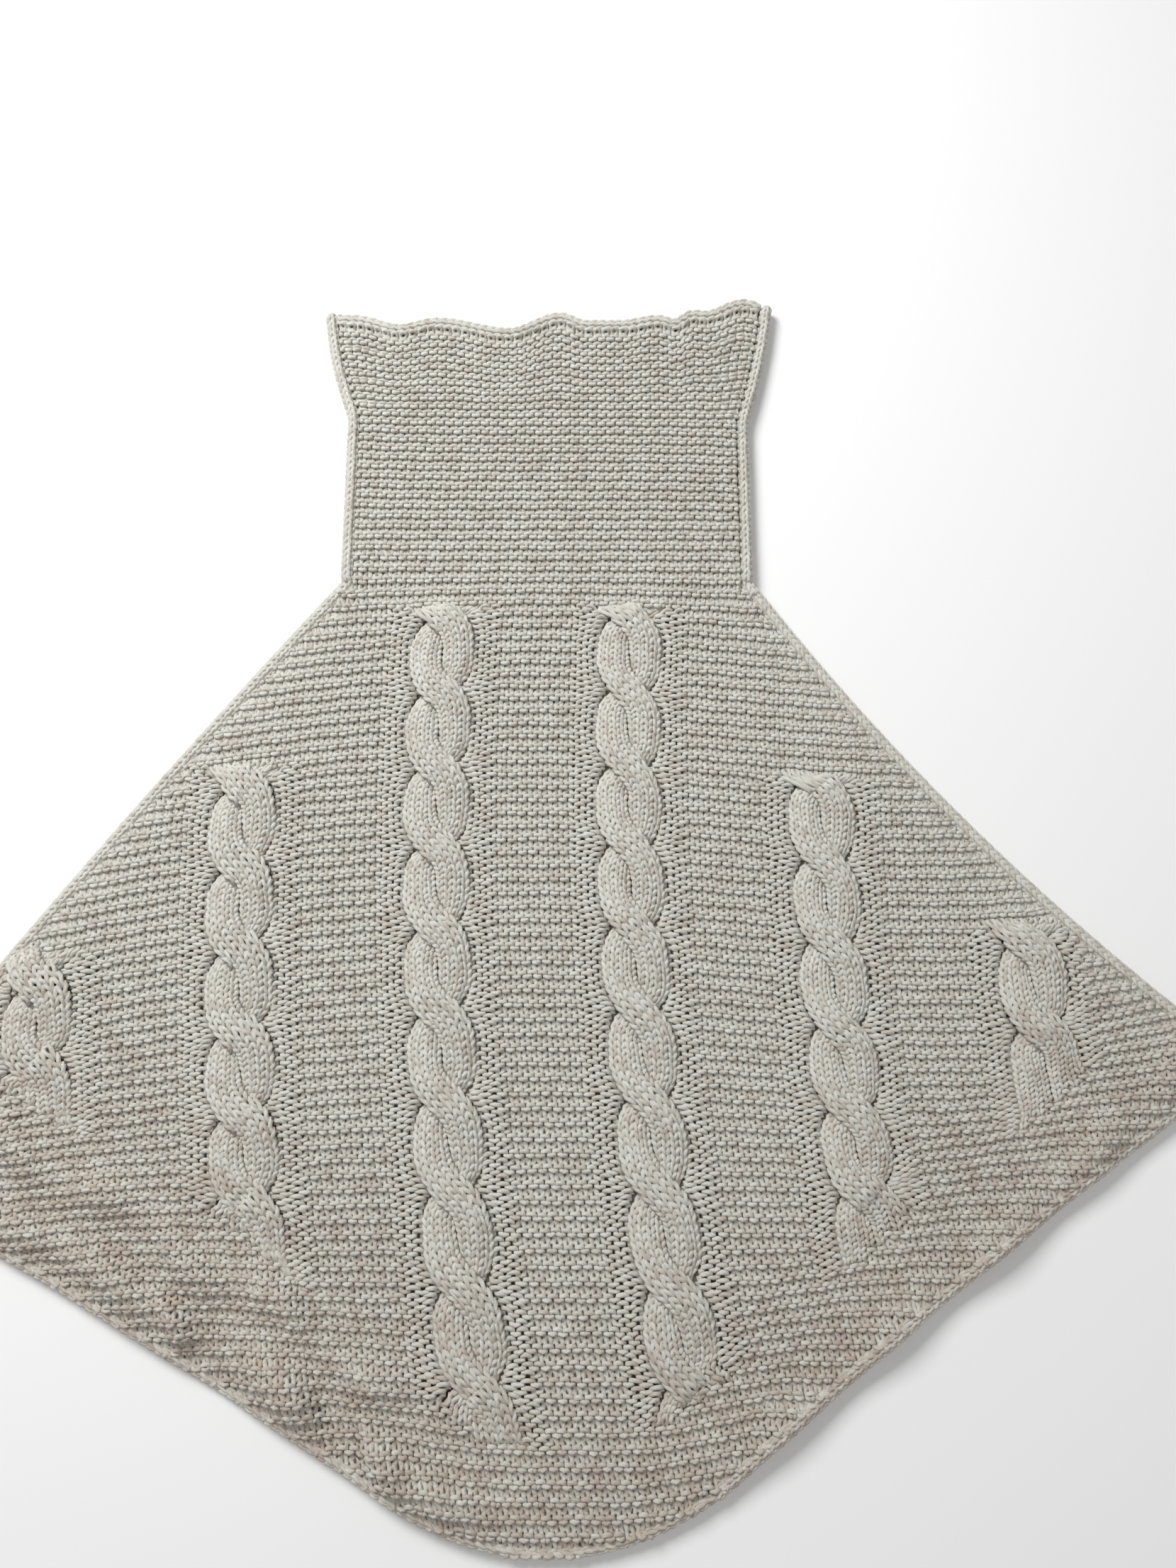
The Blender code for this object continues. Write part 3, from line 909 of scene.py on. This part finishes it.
def chain_loops(count, reach, bump=-0.0009, leg=0.0006):
    """Knit stitches one after the other: their column, their row and how far they stand out."""
    t = np.arange(count * STITCH_POINTS + 1) / STITCH_POINTS
    column = t + KNIT_BULGE * np.sin(4 * math.pi * t)
    level = -reach * np.cos(2 * math.pi * t)
    shape = (bump, (bump + leg) / 2, leg, leg, (bump + leg) / 2)
    depth = np.append(np.tile(shape, 2 * count), bump)
    return column, level, depth


def cord_strand(line, half_width, half_height, around=4, pitch=0.0043):
    """One yarn worked round and round along a line, which makes a knitted cord of an oval
    section. The line's third number is the height of the cord's middle."""
    steps = np.linalg.norm(np.diff(line[:, :2], axis=0), axis=1)
    distance = np.concatenate([[0.0], np.cumsum(steps)])
    rows = int(distance[-1] / pitch)
    pitch = distance[-1] / rows
    column, level, depth = chain_loops(rows * around, 0.5 + 0.0011 / pitch)
    run = np.clip((column / around + level) * pitch, 0.0, distance[-1])
    middle = [np.interp(run, distance, line[:, i]) for i in range(3)]
    ahead = [np.interp(np.minimum(run + 0.004, distance[-1]), distance, line[:, i]) for i in (0, 1)]
    behind = [np.interp(np.maximum(run - 0.004, 0.0), distance, line[:, i]) for i in (0, 1)]
    along = unit(np.stack([ahead[0] - behind[0], ahead[1] - behind[1]], axis=1))
    turn = 2 * math.pi * column / around
    wide = (half_width + depth) * np.cos(turn)
    high = (half_height + depth) * np.sin(turn)
    x = middle[0] - along[:, 1] * wide
    y = middle[1] + along[:, 0] * wide
    return np.stack([x, y, middle[2] + high], axis=1)


SEAM_HALF_WIDTH = 0.0025
SEAM_HALF_HEIGHT = {"shoulder": 0.0018, "collar_lower": 0.0034, "collar_upper": 0.0034}
seam_low, seam_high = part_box("right_collar_lower_seam")
seam_level = (seam_low.z + seam_high.z) / 2
SEAM_GAP = 0.0003
seam_offset = (seam_high.x - seam_low.x) / 2 + SEAM_GAP
collar_side = np.stack([collar_right[:, 0], collar_right[:, 1]], axis=1)
collar_side = collar_side[np.concatenate([[True], np.diff(collar_side[:, 1]) > 1e-4])]
for side, sign in (("left", -1), ("right", 1)):
    at_side = shoulder_line[sign * (shoulder_line[:, 0] - NECK_X) > 0]
    at_side = at_side[np.argsort(at_side[:, 1])]
    shoulder = offset_line(even_line(at_side, 0.010), -sign * seam_offset)
    edge = np.stack([NECK_X + sign * (collar_side[:, 0] - NECK_X), collar_side[:, 1]], axis=1)
    edge = offset_line(even_line(edge, 0.006), -sign * seam_offset)
    edge_x, edge_y, _ = settle_collar(edge[:, 0], edge[:, 1], 0.0)
    edge = np.stack([edge_x, edge_y], axis=1)
    lower = edge[edge[:, 1] < FOLD_Y]
    foot = (shoulder[-1] + 2 * lower[0]) / 3
    upper = edge[edge[:, 1] > lower[-1, 1] - 1e-6]
    lower = np.concatenate([[foot], lower])
    for part, line in (("shoulder", shoulder), ("collar_lower", lower), ("collar_upper", upper)):
        line = even_line(line, 0.004)
        line = np.column_stack([line, np.full(len(line), seam_level)])
        strand = cord_strand(line, SEAM_HALF_WIDTH, SEAM_HALF_HEIGHT[part])
        cord = spin(f"{side}_{part}_chain", [strand], oatmeal_wool, None)
        if part == "shoulder":
            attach(cord, "poncho_body")
        else:
            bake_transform(cord, "poncho_body", "collar_turndown", start=fold_start, end=fold_end)
        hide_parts(f"{side}_{part}_seam")


# Bind-off. Each layer's last row is closed with a chain that lies along the collar's top edge.
for layer, level in (("front", FRONT_LEVEL + 0.0004), ("back", BACK_LEVEL + 0.0006)):
    half = (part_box(f"{layer}_bind_off")[1].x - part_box(f"{layer}_bind_off")[0].x) / 2
    across = np.linspace(NECK_X - half, NECK_X + half, 90)
    line = np.stack([across, NECK_Y + top_edge(across) - 0.0042, np.full(90, level)], axis=1)
    strand = cord_strand(even_line(line, 0.002), 0.0026, 0.0010, around=3, pitch=0.0056)
    chain = spin(f"{layer}_bind_off_chain", [strand], oatmeal_wool, None)
    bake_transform(chain, "poncho_body", "collar_turndown", start=fold_start, end=fold_end)
    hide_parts(f"{layer}_bind_off")


# The hem's edge. The garter rows run nearly to the edge, and a chain of stitches closes it. The
# chain is thin and bumpy on the left and at the point, where rows were cast on, and wider on the right.
chain_line = outer_hem(HEM_EDGE - 0.0030, HEM_EDGE - 0.0038)
chain_x = chain_line[:, 0]
CHAIN_OVERLAP = 0.004
cast_on_middle = (cast_on_low.x + cast_on_high.x) / 2
CAST_ON_REACH = 0.0999
NARROW = {"half_width": 0.0016, "pitch": 0.0060, "around": 3}
WIDE = {"half_width": 0.0025, "pitch": 0.0047, "around": 4}
chain_parts = (
    ("left", chain_x < cast_on_low.x + CHAIN_OVERLAP, NARROW),
    ("cast_on", np.abs(chain_x - cast_on_middle) < CAST_ON_REACH, NARROW),
    ("right", chain_x > cast_on_high.x - CHAIN_OVERLAP, WIDE),
)
for layer, bands, level, sides in (
    ("front", front_bands, FRONT_LEVEL - 0.0020, 6),
    ("back", back_bands, BACK_LEVEL + 0.0004, 5),
):
    for part, here, chain in chain_parts:
        line = even_line(chain_line[here], 0.003)
        rise = rumple(line[:, 0], line[:, 1]) if layer == "front" else 0.0
        line = np.column_stack([line, level + rise + np.zeros(len(line))])
        bands[part].append(cord_strand(line, half_height=0.0009, **chain))
        name = f"{layer}_hem_band_{part}"
        band = spin(name, bands[part], oatmeal_wool, "poncho_body", sides)
        solid = "cast_on_edge" if part == "cast_on" else f"hem_edge_{part}"
        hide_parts(f"{layer}_{solid}")


# The web. Behind the loops that show, each layer is closed by the yarn's own backs and by loose
# fibre. A thin sheet inside each layer stands for them, and its dark brown is painted shade, so the gaps
# between the stitches look shadowed.
web_painted_shade = bpy.data.materials.new("inner wool")
web_painted_shade.use_nodes = True
inner_shader = web_painted_shade.node_tree.nodes["Principled BSDF"]
inner_shader.inputs["Roughness"].default_value = 1.0
inner_shader.inputs["Specular IOR Level"].default_value = 0.1
inner_noise = web_painted_shade.node_tree.nodes.new("ShaderNodeTexNoise")
inner_noise.inputs["Scale"].default_value = 700.0
inner_noise.inputs["Detail"].default_value = 2.0
web_shade_tone = web_painted_shade.node_tree.nodes.new("ShaderNodeMix")
web_shade_tone.data_type = "RGBA"
# Painted shade: two dark browns that make the gaps between the stitches look shadowed.
web_shade_tone.inputs[6].default_value = (0.115, 0.100, 0.082, 1.0)
web_shade_tone.inputs[7].default_value = (0.200, 0.178, 0.148, 1.0)
web_painted_shade.node_tree.links.new(inner_noise.outputs["Fac"], web_shade_tone.inputs["Factor"])
web_painted_shade.node_tree.links.new(web_shade_tone.outputs[2], inner_shader.inputs["Base Color"])
WEB_POINTS = 60
WEB_DEPTH = -0.0010
IN_NO_CABLE = 999


def web(name, rows, within, place, settle=settle_nothing):
    """A sheet that lies in the fabric row by row, a little behind its middle, dark with painted shade."""
    lines = []
    for row in rows:
        ends = row_ends(row, within, place)
        if ends is None or ends[1] - ends[0] < 1:
            continue
        margin = min(0.7, (ends[1] - ends[0]) / 4)
        column = np.linspace(ends[0] + margin, ends[1] - margin, WEB_POINTS)
        stitch = np.full(WEB_POINTS, IN_NO_CABLE)
        x, y = plain_place(column, np.full(WEB_POINTS, float(row)))
        behind = np.full(WEB_POINTS, WEB_DEPTH)
        z = place(column, np.full(WEB_POINTS, float(row)), behind, stitch, row)[2]
        lines.append(np.stack(settle(x, y, z), axis=1))
    count = len(lines)
    k = np.arange(WEB_POINTS - 1)
    corner = np.arange(count - 1)[:, None] * WEB_POINTS + k
    quads = np.stack([corner, corner + 1, corner + 1 + WEB_POINTS, corner + WEB_POINTS], axis=2)
    mesh = bpy.data.meshes.new(name)
    mesh.from_pydata(np.concatenate(lines).tolist(), [], quads.reshape(-1, 4).tolist())
    mesh.polygons.foreach_set("use_smooth", np.ones(len(mesh.polygons), bool))
    mesh.materials.append(web_painted_shade)
    sheet = bpy.data.objects.new(name, mesh)
    bpy.context.scene.collection.objects.link(sheet)
    return sheet


for layer, place in (("front", lay_front), ("back", lay_back)):
    pieces = [o for o in bpy.data.objects if o.name.startswith((f"{layer}_", "cable_"))]
    pieces = [o for o in pieces if "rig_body" in o and (layer == "front" or "cable" not in o.name)]
    cloth = web(f"{layer}_web", range(-BODY_ROWS + 1, 1, 2), in_garment, place)
    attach(cloth, "poncho_body")
for layer, place in (("front", lay_collar_front), ("back", lay_back)):
    pieces = [o for o in bpy.data.objects if o.name.startswith(f"{layer}_") and "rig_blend" in o]
    cloth = web(f"{layer}_collar_web", range(0, last_row), in_collar, place, settle_collar)
    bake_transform(cloth, "poncho_body", "collar_turndown", start=fold_start, end=fold_end)


# The floor and the light. The poncho lies on a wide pale floor in a bright room. A lamp past the
# collar on the left shapes the stitches, and a larger, weaker one fills in from the right.
floor_mesh = bpy.data.meshes.new("floor")
floor_shape = bmesh.new()
bmesh.ops.create_grid(floor_shape, x_segments=1, y_segments=1, size=6.0)
floor_shape.to_mesh(floor_mesh)
floor_shape.free()
floor = bpy.data.objects.new("floor", floor_mesh)
floor.location.z = -0.0002
bpy.context.scene.collection.objects.link(floor)
floor_paint = bpy.data.materials.new("pale floor")
floor_paint.use_nodes = True
floor_shader = floor_paint.node_tree.nodes["Principled BSDF"]
floor_shader.inputs["Base Color"].default_value = (0.93, 0.93, 0.93, 1.0)
floor_shader.inputs["Roughness"].default_value = 0.9
floor_mesh.materials.append(floor_paint)

world = bpy.data.worlds.new("studio")
world.use_nodes = True
world.node_tree.nodes["Background"].inputs["Color"].default_value = (1.0, 1.0, 1.0, 1.0)
world.node_tree.nodes["Background"].inputs["Strength"].default_value = 0.33
bpy.context.scene.world = world
for name, place, size, power in (
    ("key", (-0.80, 0.95, 1.20), 0.7, 28.0),
    ("fill", (1.4, -0.6, 2.2), 2.0, 9.0),
):
    lamp_data = bpy.data.lights.new(name, "AREA")
    lamp_data.size = size
    lamp_data.energy = power
    lamp = bpy.data.objects.new(name, lamp_data)
    lamp.location = place
    aim = -lamp.location
    lamp.rotation_euler = aim.to_track_quat("-Z", "Y").to_euler()
    bpy.context.scene.collection.objects.link(lamp)
bpy.context.scene.view_settings.view_transform = "Standard"
